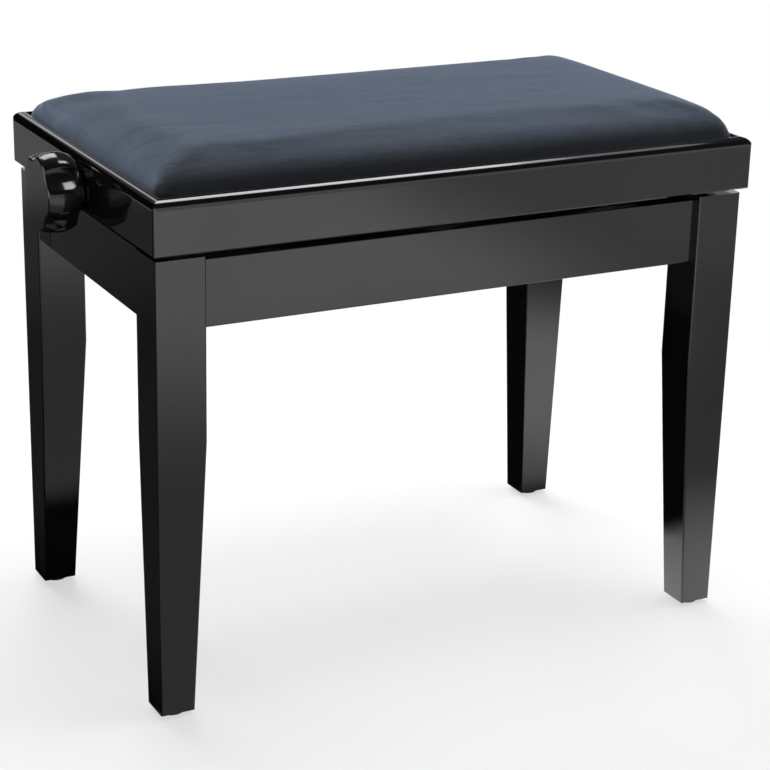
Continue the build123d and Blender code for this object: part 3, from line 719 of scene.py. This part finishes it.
class Paintbox:
    """All finishes as materials, one for each slot of the record."""

    def __init__(self) -> None:
        """Make every material."""
        effects = Effects()
        self.materials = {slot: finish.material(effects) for slot, finish in FINISHES.items()}

    def dress_frame(self) -> None:
        """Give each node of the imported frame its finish."""
        for subpart in frame["record"]["subparts"]:
            node = frame["nodes"][subpart["node"]]
            node.material_slots[0].material = self.materials[Slot(subpart["material_slot"])]
            log.info("dressed %s in %s", node.name, subpart["material_slot"])

    def dress(self, piece: Piece, slot: Slot) -> None:
        """Give a new piece its finish.

        Args:
            piece: The piece.
            slot: The finish's slot.
        """
        piece.data.materials.clear()
        piece.data.materials.append(self.materials[slot])


def start_piece(name: str) -> Piece:
    """Name the primitive that was just added.

    Args:
        name: The piece's name.

    Returns:
        The piece.
    """
    piece = bpy.context.active_object
    piece.name = name
    piece.data.name = name
    return piece


def make_active(piece: Piece) -> None:
    """Select one piece alone.

    Args:
        piece: The piece, which becomes the active object.
    """
    bpy.ops.object.select_all(action="DESELECT")
    piece.select_set(True)
    bpy.context.view_layer.objects.active = piece


def select_faces(piece: Piece, wanted: Callable[[bpy.types.MeshPolygon], bool]) -> None:
    """Open the active piece in edit mode with some of its faces selected.

    Args:
        piece: The active piece.
        wanted: Says whether a face is selected.
    """
    bpy.ops.object.mode_set(mode="EDIT")
    bpy.ops.mesh.select_mode(type="FACE")
    bpy.ops.mesh.select_all(action="DESELECT")
    bpy.ops.object.mode_set(mode="OBJECT")
    for face in piece.data.polygons:
        face.select = wanted(face)
    bpy.ops.object.mode_set(mode="EDIT")


def apply_modifier(piece: Piece, kind: str, **settings: object) -> None:
    """Add one modifier and apply it.

    Args:
        piece: The piece, which becomes the active object.
        kind: Modifier type.
        settings: Its properties.
    """
    make_active(piece)
    modifier = piece.modifiers.new(kind.lower(), kind)
    for key, value in settings.items():
        setattr(modifier, key, value)
    bpy.ops.object.modifier_apply(modifier=modifier.name)


@dataclass
class PaddedSeat:
    """Foam pad under a tight velour cover, crowned over its rails."""

    corner_radius: float = 0.014
    corner_steps: int = 6
    wall_over_rim: float = 0.002
    shoulder_rise: float = 0.0205
    side_width: float = 0.05
    left_width: float = 0.034
    right_width: float = 0.0095
    shoulder_steps: int = 9
    crown_rise: float = 0.0005
    crown_steps: int = 5
    flat_width: float = 0.06
    smooth_rounds: int = 14
    voxel: float = 0.005
    swell_limit: float = 0.003
    pressure: float = 4.0
    frames: int = 20
    cover_thickness: float = 0.0016
    foam_gap: float = 0.0022
    board_gap: float = 0.0001
    fill: float = 0.8

    def __post_init__(self) -> None:
        """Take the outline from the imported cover, and levels from its neighbours."""
        low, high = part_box("seat_cover")
        self.length = high.x - low.x
        self.depth = high.y - low.y
        self.base = low.z
        self.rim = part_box("seat_rail_front")[1].z
        self.board_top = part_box("seat_board")[1].z

    def rings(self) -> list[Ring]:
        """Insets and level of each ring from the wall's top to the flat middle.

        Returns:
            Inset at the left end, at the right end and at the long sides, and level.
        """
        wall_top = self.rim + self.wall_over_rim
        result = [(0.0, 0.0, 0.0, wall_top)]
        for step in range(1, self.shoulder_steps + 1):
            turn = math.pi / 2 * step / self.shoulder_steps
            share = 1 - math.cos(turn)
            level = wall_top + self.shoulder_rise * math.sin(turn)
            result.append((self.left_width * share, self.right_width * share, self.side_width * share, level))
        run = (self.depth - self.flat_width) / 2 - self.side_width
        for step in range(1, self.crown_steps + 1):
            share = step / self.crown_steps
            inset = run * share
            level = wall_top + self.shoulder_rise + self.crown_rise * (1 - (1 - share) ** 2)
            result.append((self.left_width + inset, self.right_width + inset, self.side_width + inset, level))
        return result

    def form(self) -> Piece:
        """Model the pad's form by raising ring after ring from its outline.

        Returns:
            The closed form.
        """
        bpy.ops.object.select_all(action="DESELECT")
        bpy.ops.mesh.primitive_plane_add(size=1.0, location=(0.0, 0.0, self.base))
        pad = start_piece("velour_cover")
        pad.scale = (self.length, self.depth, 1.0)
        bpy.ops.object.transform_apply(location=True, scale=True)
        bpy.ops.object.mode_set(mode="EDIT")
        bpy.ops.mesh.select_all(action="SELECT")
        bpy.ops.mesh.bevel(offset=self.corner_radius, segments=self.corner_steps, affect="VERTICES")
        bpy.ops.mesh.select_all(action="SELECT")
        length, depth, middle, level = self.length, self.depth, 0.0, self.base
        for left_inset, right_inset, side_inset, next_level in self.rings():
            rise = {"value": (0.0, 0.0, next_level - level)}
            bpy.ops.mesh.extrude_region_move(TRANSFORM_OT_translate=rise)
            next_length = self.length - left_inset - right_inset
            next_depth = self.depth - 2 * side_inset
            shrink = (next_length / length, next_depth / depth, 1.0)
            bpy.ops.transform.resize(value=shrink, center_override=(middle, 0.0, next_level))
            next_middle = (left_inset - right_inset) / 2
            bpy.ops.transform.translate(value=(next_middle - middle, 0.0, 0.0))
            length, depth, middle, level = next_length, next_depth, next_middle, next_level
        bpy.ops.mesh.select_all(action="SELECT")
        bpy.ops.mesh.normals_make_consistent(inside=False)
        bpy.ops.object.mode_set(mode="OBJECT")
        return pad

    def inflate(self, pad: Piece) -> None:
        """Swell the pad as cloth that is held at the rails.

        Args:
            pad: The remeshed form.
        """
        held = pad.vertex_groups.new(name="held")
        start = [vertex.co.copy() for vertex in pad.data.vertices]
        held.add([i for i, co in enumerate(start) if co.z < self.rim], 1.0, "REPLACE")
        cloth = pad.modifiers.new("cloth", "CLOTH")
        cloth.settings.vertex_group_mass = held.name
        cloth.settings.use_pressure = True
        cloth.settings.uniform_pressure_force = self.pressure
        cloth.settings.effector_weights.gravity = 0.0
        scene = bpy.context.scene
        for number in range(1, self.frames + 1):
            scene.frame_set(number)
        bpy.ops.object.modifier_apply(modifier=cloth.name)
        scene.frame_set(1)
        for vertex, co in zip(pad.data.vertices, start):
            move = vertex.co - co
            if move.length > self.swell_limit:
                vertex.co = co + move * (self.swell_limit / move.length)

    def soften(self, pad: Piece) -> None:
        """Even out the top, more with height, so that the corners' hips fade upwards.

        Args:
            pad: The swollen pad.
        """
        soft = pad.vertex_groups.new(name="soft")
        top = self.rim + self.wall_over_rim + self.shoulder_rise
        for vertex in pad.data.vertices:
            share = (vertex.co.z - self.rim) / (top - self.rim)
            soft.add([vertex.index], min(1.0, max(0.0, share)), "REPLACE")
        apply_modifier(pad, "SMOOTH", vertex_group=soft.name, factor=0.5, iterations=self.smooth_rounds)
        apply_modifier(pad, "SUBSURF", levels=1, render_levels=1)

    def foam(self, pad: Piece, paint: Paintbox) -> Piece:
        """Cut the foam out of a copy of the finished pad.

        Args:
            pad: The finished pad, still closed.
            paint: The finishes.

        Returns:
            The foam.
        """
        foam = pad.copy()
        foam.data = pad.data.copy()
        bpy.context.scene.collection.objects.link(foam)
        make_active(foam)
        start_piece("seat_foam")
        apply_modifier(foam, "DISPLACE", strength=-self.foam_gap, mid_level=0.0)
        bpy.ops.object.mode_set(mode="EDIT")
        bpy.ops.mesh.select_all(action="SELECT")
        cut = (0.0, 0.0, self.board_top + self.board_gap)
        bpy.ops.mesh.bisect(plane_co=cut, plane_no=(0.0, 0.0, 1.0), clear_inner=True, use_fill=True)
        bpy.ops.object.mode_set(mode="OBJECT")
        bpy.ops.object.shade_smooth()
        foam.vertex_groups.clear()
        paint.dress(foam, Slot.FOAM)
        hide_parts("foam_pad")
        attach(foam, Body.SEAT.value)
        return foam

    def open_below(self, pad: Piece) -> None:
        """Open the cover's underside and give it the cloth's thickness.

        Args:
            pad: The finished pad.
        """
        make_active(pad)
        select_faces(pad, lambda face: face.normal.z < -0.5 and face.center.z < self.board_top)
        bpy.ops.mesh.delete(type="FACE")
        bpy.ops.object.mode_set(mode="OBJECT")
        apply_modifier(pad, "SOLIDIFY", thickness=self.cover_thickness, offset=-1.0)

    def build(self, paint: Paintbox) -> list[Piece]:
        """Build the cover and the foam, and seat them on the board.

        Args:
            paint: The finishes.

        Returns:
            The two pieces.
        """
        pad = self.form()
        pad.data.remesh_voxel_size = self.voxel
        bpy.ops.object.voxel_remesh()
        self.inflate(pad)
        self.soften(pad)
        foam = self.foam(pad, paint)
        self.open_below(pad)
        bpy.ops.object.shade_smooth()
        pad.vertex_groups.clear()
        paint.dress(pad, Slot.VELOUR)
        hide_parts("seat_cover")
        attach(pad, Body.SEAT.value)
        return [pad, foam]


@dataclass
class ThreadedSpindle:
    """Spindle with a cut thread along the traveller's run and plain journals at its ends."""

    lead: float = 0.003
    depth: float = 0.0012
    half_length: float = 0.234
    overlap: float = 0.004
    steps: int = 24
    journal_sides: int = 48
    turn_gap: float = 0.00001
    seam_gap: float = 0.00002
    sharp_angle_deg: float = 25.0

    def __post_init__(self) -> None:
        """Take the rod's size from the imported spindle."""
        self.low, self.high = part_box("spindle")
        self.radius = (self.high.z - self.low.z) / 2
        self.level = (self.high.z + self.low.z) / 2

    def thread(self) -> Piece:
        """Wind one tooth's flanks along the rod and close both ends.

        Returns:
            The threaded part.
        """
        bpy.ops.object.select_all(action="DESELECT")
        bpy.ops.mesh.primitive_circle_add(vertices=3, radius=self.radius, fill_type="NOTHING")
        rod = start_piece("threaded_spindle")
        root = self.radius - self.depth
        flanks = ((0.0, root), (self.lead / 2, self.radius), (self.lead, root))
        for vertex, (along, out) in zip(rod.data.vertices, flanks):
            vertex.co = (along - self.half_length, 0.0, out)
        base = [edge.index for edge in rod.data.edges if set(edge.vertices) == {0, 2}]
        bpy.ops.object.mode_set(mode="EDIT")
        bpy.ops.mesh.select_mode(type="EDGE")
        bpy.ops.mesh.select_all(action="DESELECT")
        bpy.ops.object.mode_set(mode="OBJECT")
        for index in base:
            rod.data.edges[index].select = True
        bpy.ops.object.mode_set(mode="EDIT")
        bpy.ops.mesh.delete(type="EDGE")
        bpy.ops.object.mode_set(mode="OBJECT")
        turns = round(2 * self.half_length / self.lead) - 1
        apply_modifier(
            rod, "SCREW", axis="X", angle=2 * math.pi, screw_offset=self.lead, iterations=turns,
            steps=self.steps, render_steps=self.steps, use_merge_vertices=True, merge_threshold=self.turn_gap,
        )
        bpy.ops.object.mode_set(mode="EDIT")
        bpy.ops.mesh.select_all(action="SELECT")
        bpy.ops.mesh.remove_doubles(threshold=self.seam_gap)
        bpy.ops.mesh.select_mode(type="EDGE")
        bpy.ops.mesh.select_all(action="DESELECT")
        bpy.ops.mesh.select_non_manifold()
        bpy.ops.mesh.fill()
        bpy.ops.mesh.select_all(action="SELECT")
        bpy.ops.mesh.normals_make_consistent(inside=False)
        bpy.ops.object.mode_set(mode="OBJECT")
        return rod

    def build(self, paint: Paintbox) -> Piece:
        """Build the rod in place of the plain spindle.

        Args:
            paint: The finishes.

        Returns:
            The rod.
        """
        rod = self.thread()
        rod.location = (0.0, 0.0, self.level)
        ends = []
        for end, side in ((self.low.x, -1), (self.high.x, 1)):
            inner = side * (self.half_length - self.overlap)
            bpy.ops.object.select_all(action="DESELECT")
            bpy.ops.mesh.primitive_cylinder_add(
                vertices=self.journal_sides, radius=self.radius, depth=abs(end - inner),
                location=((end + inner) / 2, 0.0, self.level), rotation=(0.0, math.pi / 2, 0.0),
            )
            ends.append(start_piece("journal"))
        make_active(rod)
        for journal in ends:
            journal.select_set(True)
        bpy.ops.object.join()
        bpy.ops.object.transform_apply(location=True, rotation=True, scale=True)
        bpy.ops.object.shade_smooth_by_angle(angle=math.radians(self.sharp_angle_deg))
        paint.dress(rod, Slot.STEEL)
        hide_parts("spindle")
        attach(rod, Body.SPINDLE.value)
        return rod


@dataclass(frozen=True)
class Lamp:
    """A rectangular soft lamp that looks at a point."""

    name: str
    place: Point
    aim: Point
    size: Span
    radiance: float
    mirrored: bool = True
    tint: Colour = (1.0, 1.0, 1.0)

    def build(self) -> None:
        """Hang the lamp."""
        bpy.ops.object.select_all(action="DESELECT")
        bpy.ops.object.light_add(type="AREA", location=self.place)
        lamp = bpy.context.active_object
        lamp.name = self.name
        lamp.data.shape = "RECTANGLE"
        lamp.data.size, lamp.data.size_y = self.size
        lamp.data.energy = self.radiance * math.pi * self.size[0] * self.size[1]
        lamp.data.color = self.tint
        aim = Vector(self.aim) - Vector(self.place)
        lamp.rotation_euler = aim.to_track_quat("-Z", "Y").to_euler()
        lamp.visible_glossy = self.mirrored


def only_mirrored(card: Piece) -> Graph:
    """Let only glossy surfaces see a card, whose glow is then a painted reflection, and give it a material.

    Args:
        card: The card.

    Returns:
        The graph of its material, still empty.
    """
    card.visible_camera = False
    card.visible_diffuse = False
    card.visible_transmission = False
    card.visible_shadow = False
    material = bpy.data.materials.new(card.name)
    material.use_nodes = True
    card.data.materials.append(material)
    return Graph(material.node_tree)


@dataclass(frozen=True)
class PaintedReflectionCard:
    """Card just above the floor that only glossy surfaces see, glowing as a painted reflection of the floor
    in fields of their own level.

    Each reach says between which places a field comes in or fades.
    """

    size: float = 12.0
    height: float = 0.0015
    # front fields: painted shadow on the floor near the bench's front, brighter further off, and a painted
    # pool of light by the right front foot
    front_level: Span = (0.42, 1.45)
    front_reach: Span = (0.55, 1.25)
    right_share: float = 0.45
    right_reach: Span = (0.5, 0.9)
    light_pool_place: Point = (0.38, -0.12, 0.0)
    light_pool_reach: Span = (0.08, 0.34)
    light_pool_level: float = 1.3
    # back fields: painted shadow behind, left of and under the bench, lighter far off at the left and bright
    # to the right
    left_shadow_level: Span = (0.03, 0.07)
    left_shadow_reach: Span = (0.75, 1.2)
    left_far_level: float = 0.2
    left_far_reach: Span = (1.3, 1.6)
    left_end: Span = (-0.35, -0.25)
    back_right_level: float = 0.9
    back_right_reach: Span = (0.3, 0.7)
    parting_left: float = 0.2
    parting_left_reach: Span = (-0.3, -0.24)
    parting_right: float = -0.15
    parting_right_reach: Span = (0.16, 0.24)
    parting_blur: Span = (0.0, 0.06)

    def build(self) -> None:
        """Lay the card and let it glow as a painted reflection."""
        bpy.ops.object.select_all(action="DESELECT")
        bpy.ops.mesh.primitive_plane_add(size=self.size, location=(0.0, 0.0, self.height))
        card = start_piece("painted_reflection_card")
        graph = only_mirrored(card)
        place = graph.add("SeparateXYZ", {0: graph.place()}).outputs
        # painted reflection of a floor in painted shadow near the bench's front and brighter further off
        towards_front = graph.math("MULTIPLY", place["Y"], -1.0)
        front = graph.remap(towards_front, self.front_reach, self.front_level)
        dimming = graph.remap(place["X"], self.right_reach, (1.0, self.right_share))
        front = graph.math("MULTIPLY", front, dimming)
        # painted pool of light by the right front foot
        away = graph.vector_math("DISTANCE", graph.place(), self.light_pool_place).outputs["Value"]
        light_pool = graph.remap(away, self.light_pool_reach, (self.light_pool_level, 0.0))
        front = graph.math("ADD", front, light_pool)
        # painted shadow behind and left of the bench, cut to black under it, bright again to the right
        back = graph.remap(place["Y"], self.left_shadow_reach, self.left_shadow_level)
        left_far = graph.remap(place["Y"], self.left_far_reach, (0.0, self.left_far_level))
        back = graph.math("ADD", back, left_far)
        back = graph.math("MULTIPLY", back, graph.remap(place["X"], self.left_end, (1.0, 0.0)))
        back_right = graph.remap(place["X"], self.back_right_reach, (0.0, self.back_right_level))
        back = graph.math("MAXIMUM", back, back_right)
        parting = graph.remap(place["X"], self.parting_left_reach, (self.parting_left, 0.0))
        bend = graph.remap(place["X"], self.parting_right_reach, (0.0, self.parting_right))
        parting = graph.math("ADD", parting, bend)
        in_front = graph.remap(graph.math("SUBTRACT", towards_front, parting), self.parting_blur)
        graph.glow(graph.add("Mix", {"Factor": in_front, 2: back, 3: front}).outputs[0])


@dataclass(frozen=True)
class UprightCard:
    """Upright card that only glossy surfaces see: a painted highlight where it glows, a painted dark
    reflection where its level is zero.
    """

    name: str
    place: Point
    turn: float
    size: Span
    level: float = 0.0

    def build(self) -> None:
        """Stand the card up and let it glow as a painted highlight, or stay dark as a painted dark
        reflection.
        """
        bpy.ops.object.select_all(action="DESELECT")
        bpy.ops.mesh.primitive_plane_add(
            size=1.0, location=self.place, rotation=(math.radians(90), 0.0, math.radians(self.turn))
        )
        card = start_piece(self.name)
        card.scale = (*self.size, 1.0)
        only_mirrored(card).glow(self.level)


@dataclass(frozen=True)
class Studio:
    """Pale floor, soft lamps, cards that paint reflections, and a white surround that is dark overhead."""

    floor_size: float = 60.0
    floor_colour: Colour = (0.9, 0.9, 0.9)
    floor_fade: Span = (0.3, 0.9)
    floor_white: Span = (0.6, 1.0)
    horizon: float = 1.0
    ceiling: float = 0.05
    fade: Span = (0.2, 0.4)
    # cards of painted reflections: the floor's, with painted shadow and light, a painted dark reflection and
    # a painted highlight
    card: PaintedReflectionCard = PaintedReflectionCard()
    upright: tuple[UprightCard, ...] = (
        # painted dark reflection at the back left, seen in the left rail's rim
        UprightCard("painted_dark_reflection", (-1.75, 2.3, 0.75), 37.0, (3.2, 1.5)),
        # painted highlight along the knob face's edge
        UprightCard("painted_edge_highlight", (-1.5, -0.2, 0.81), 90.0, (1.6, 1.18), 3.0),
    )
    lamps: tuple[Lamp, ...] = (
        Lamp("strip_above", (0.705, -0.1, 2.25), (0.705, -0.1, 0.0), (0.81, 1.1), 9.0),
        Lamp("strip_next", (1.155, -0.1, 2.25), (1.155, -0.1, 0.0), (0.09, 1.1), 4.2),
        Lamp("strip_right", (1.35, -0.1, 2.25), (1.35, -0.1, 0.0), (0.3, 1.1), 1.5),
        Lamp("strip_behind", (-0.27, 2.3, 1.48), (-0.27, 0.0, 0.45), (0.5, 0.6), 1.3),
        Lamp("soft_behind", (-0.1, 1.4, 2.35), (0.0, 0.0, 0.45), (1.2, 0.8), 7.5),
        Lamp("soft_back", (0.2, 2.4, 1.7), (0.0, 0.0, 0.45), (2.4, 1.2), 6.0, mirrored=False),
        Lamp("strip_left", (-2.4, -0.67, 1.16), (-0.3, 0.0, 0.42), (0.25, 0.9), 3.5, tint=(1.0, 0.78, 0.55)),
        Lamp("soft_above", (0.3, 0.1, 2.8), (0.0, 0.0, 0.4), (2.0, 2.0), 1.3, mirrored=False),
    )

    def build(self) -> None:
        """Set up the floor, the cards of painted reflections, the lamps and the surround."""
        self.lay_floor()
        self.card.build()
        for fixture in (*self.upright, *self.lamps):
            fixture.build()
        self.surround()

    def lay_floor(self) -> None:
        """Lay the pale floor, which shows a light shadow and turns plain white further off."""
        bpy.ops.object.select_all(action="DESELECT")
        bpy.ops.mesh.primitive_plane_add(size=self.floor_size, location=(0.0, 0.0, 0.0))
        floor = start_piece("floor")
        plain = {"Roughness": 0.9, "Specular IOR Level": 0.0, "Base Color": rgba(self.floor_colour)}
        surface = Surface("pale_floor", Effects(), plain)
        reach = surface.vector_math("LENGTH", surface.place(), (0.0, 0.0, 0.0)).outputs["Value"]
        share = surface.remap(reach, self.floor_fade, self.floor_white)
        rays = surface.add("LightPath").outputs
        seen = surface.math("ADD", rays["Is Camera Ray"], rays["Is Glossy Ray"])
        seen = surface.math("ADD", seen, rays["Is Transmission Ray"], clamp=True)
        white = surface.add("Emission", {"Strength": 1.0})
        mixed = surface.add("MixShader", {0: surface.math("MULTIPLY", share, seen)})
        surface.feed(mixed.inputs[1], surface.shader.outputs[0])
        surface.feed(mixed.inputs[2], white.outputs[0])
        surface.add("OutputMaterial", {"Surface": mixed.outputs[0]}, is_active_output=True)
        floor.data.materials.append(surface.material)

    def surround(self) -> None:
        """Light the surround white at the horizon and dark overhead."""
        world = bpy.data.worlds.new("studio")
        bpy.context.scene.world = world
        world.use_nodes = True
        graph = Graph(world.node_tree)
        direction = graph.add("SeparateXYZ", {0: graph.add("TexCoord").outputs["Generated"]})
        level = graph.remap(direction.outputs["Z"], self.fade, (self.horizon, self.ceiling))
        background = graph.add("Background", {"Strength": level})
        graph.add("OutputWorld", {"Surface": background.outputs[0]})
        background.inputs["Color"].default_value = rgba((1.0, 1.0, 1.0))


@dataclass(frozen=True)
class PhotoCamera:
    """Camera at the photograph's viewing angle, fitted to the bench's edges there."""

    place: Point = (-0.86065, -1.65610, 0.87292)
    yaw_deg: float = 27.781
    pitch_deg: float = -19.763
    roll_deg: float = 1.335
    focal_px: float = 2179.19
    image_px: float = 770.0
    sensor_mm: float = 36.0

    def build(self) -> None:
        """Set up the camera and make it the scene's."""
        yaw, pitch, roll = map(math.radians, (self.yaw_deg, self.pitch_deg, self.roll_deg))
        level = math.cos(pitch)
        forward = Vector((math.sin(yaw) * level, math.cos(yaw) * level, math.sin(pitch)))
        flat_right = Vector((math.cos(yaw), -math.sin(yaw), 0.0))
        flat_up = flat_right.cross(forward)
        right = flat_right * math.cos(roll) + flat_up * math.sin(roll)
        up = flat_up * math.cos(roll) - flat_right * math.sin(roll)
        bpy.ops.object.select_all(action="DESELECT")
        bpy.ops.object.camera_add()
        camera = bpy.context.active_object
        camera.name = "photo_camera"
        turn = Matrix((right, up, -forward)).transposed().to_4x4()
        camera.matrix_world = Matrix.Translation(self.place) @ turn
        camera.data.sensor_width = self.sensor_mm
        camera.data.lens = self.focal_px * self.sensor_mm / self.image_px
        bpy.context.scene.camera = camera


def main() -> None:
    """Dress the bench, build its soft pieces and set up the studio."""
    logging.basicConfig(level=logging.INFO, format="%(name)s: %(message)s")
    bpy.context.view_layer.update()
    bpy.context.scene.view_settings.view_transform = "Standard"
    PhotoCamera().build()
    paint = Paintbox()
    paint.dress_frame()
    for piece in (*PaddedSeat().build(paint), ThreadedSpindle().build(paint)):
        log.info("built %s with %d faces", piece.name, len(piece.data.polygons))
    Studio().build()


if __name__ == "__main__":
    main()
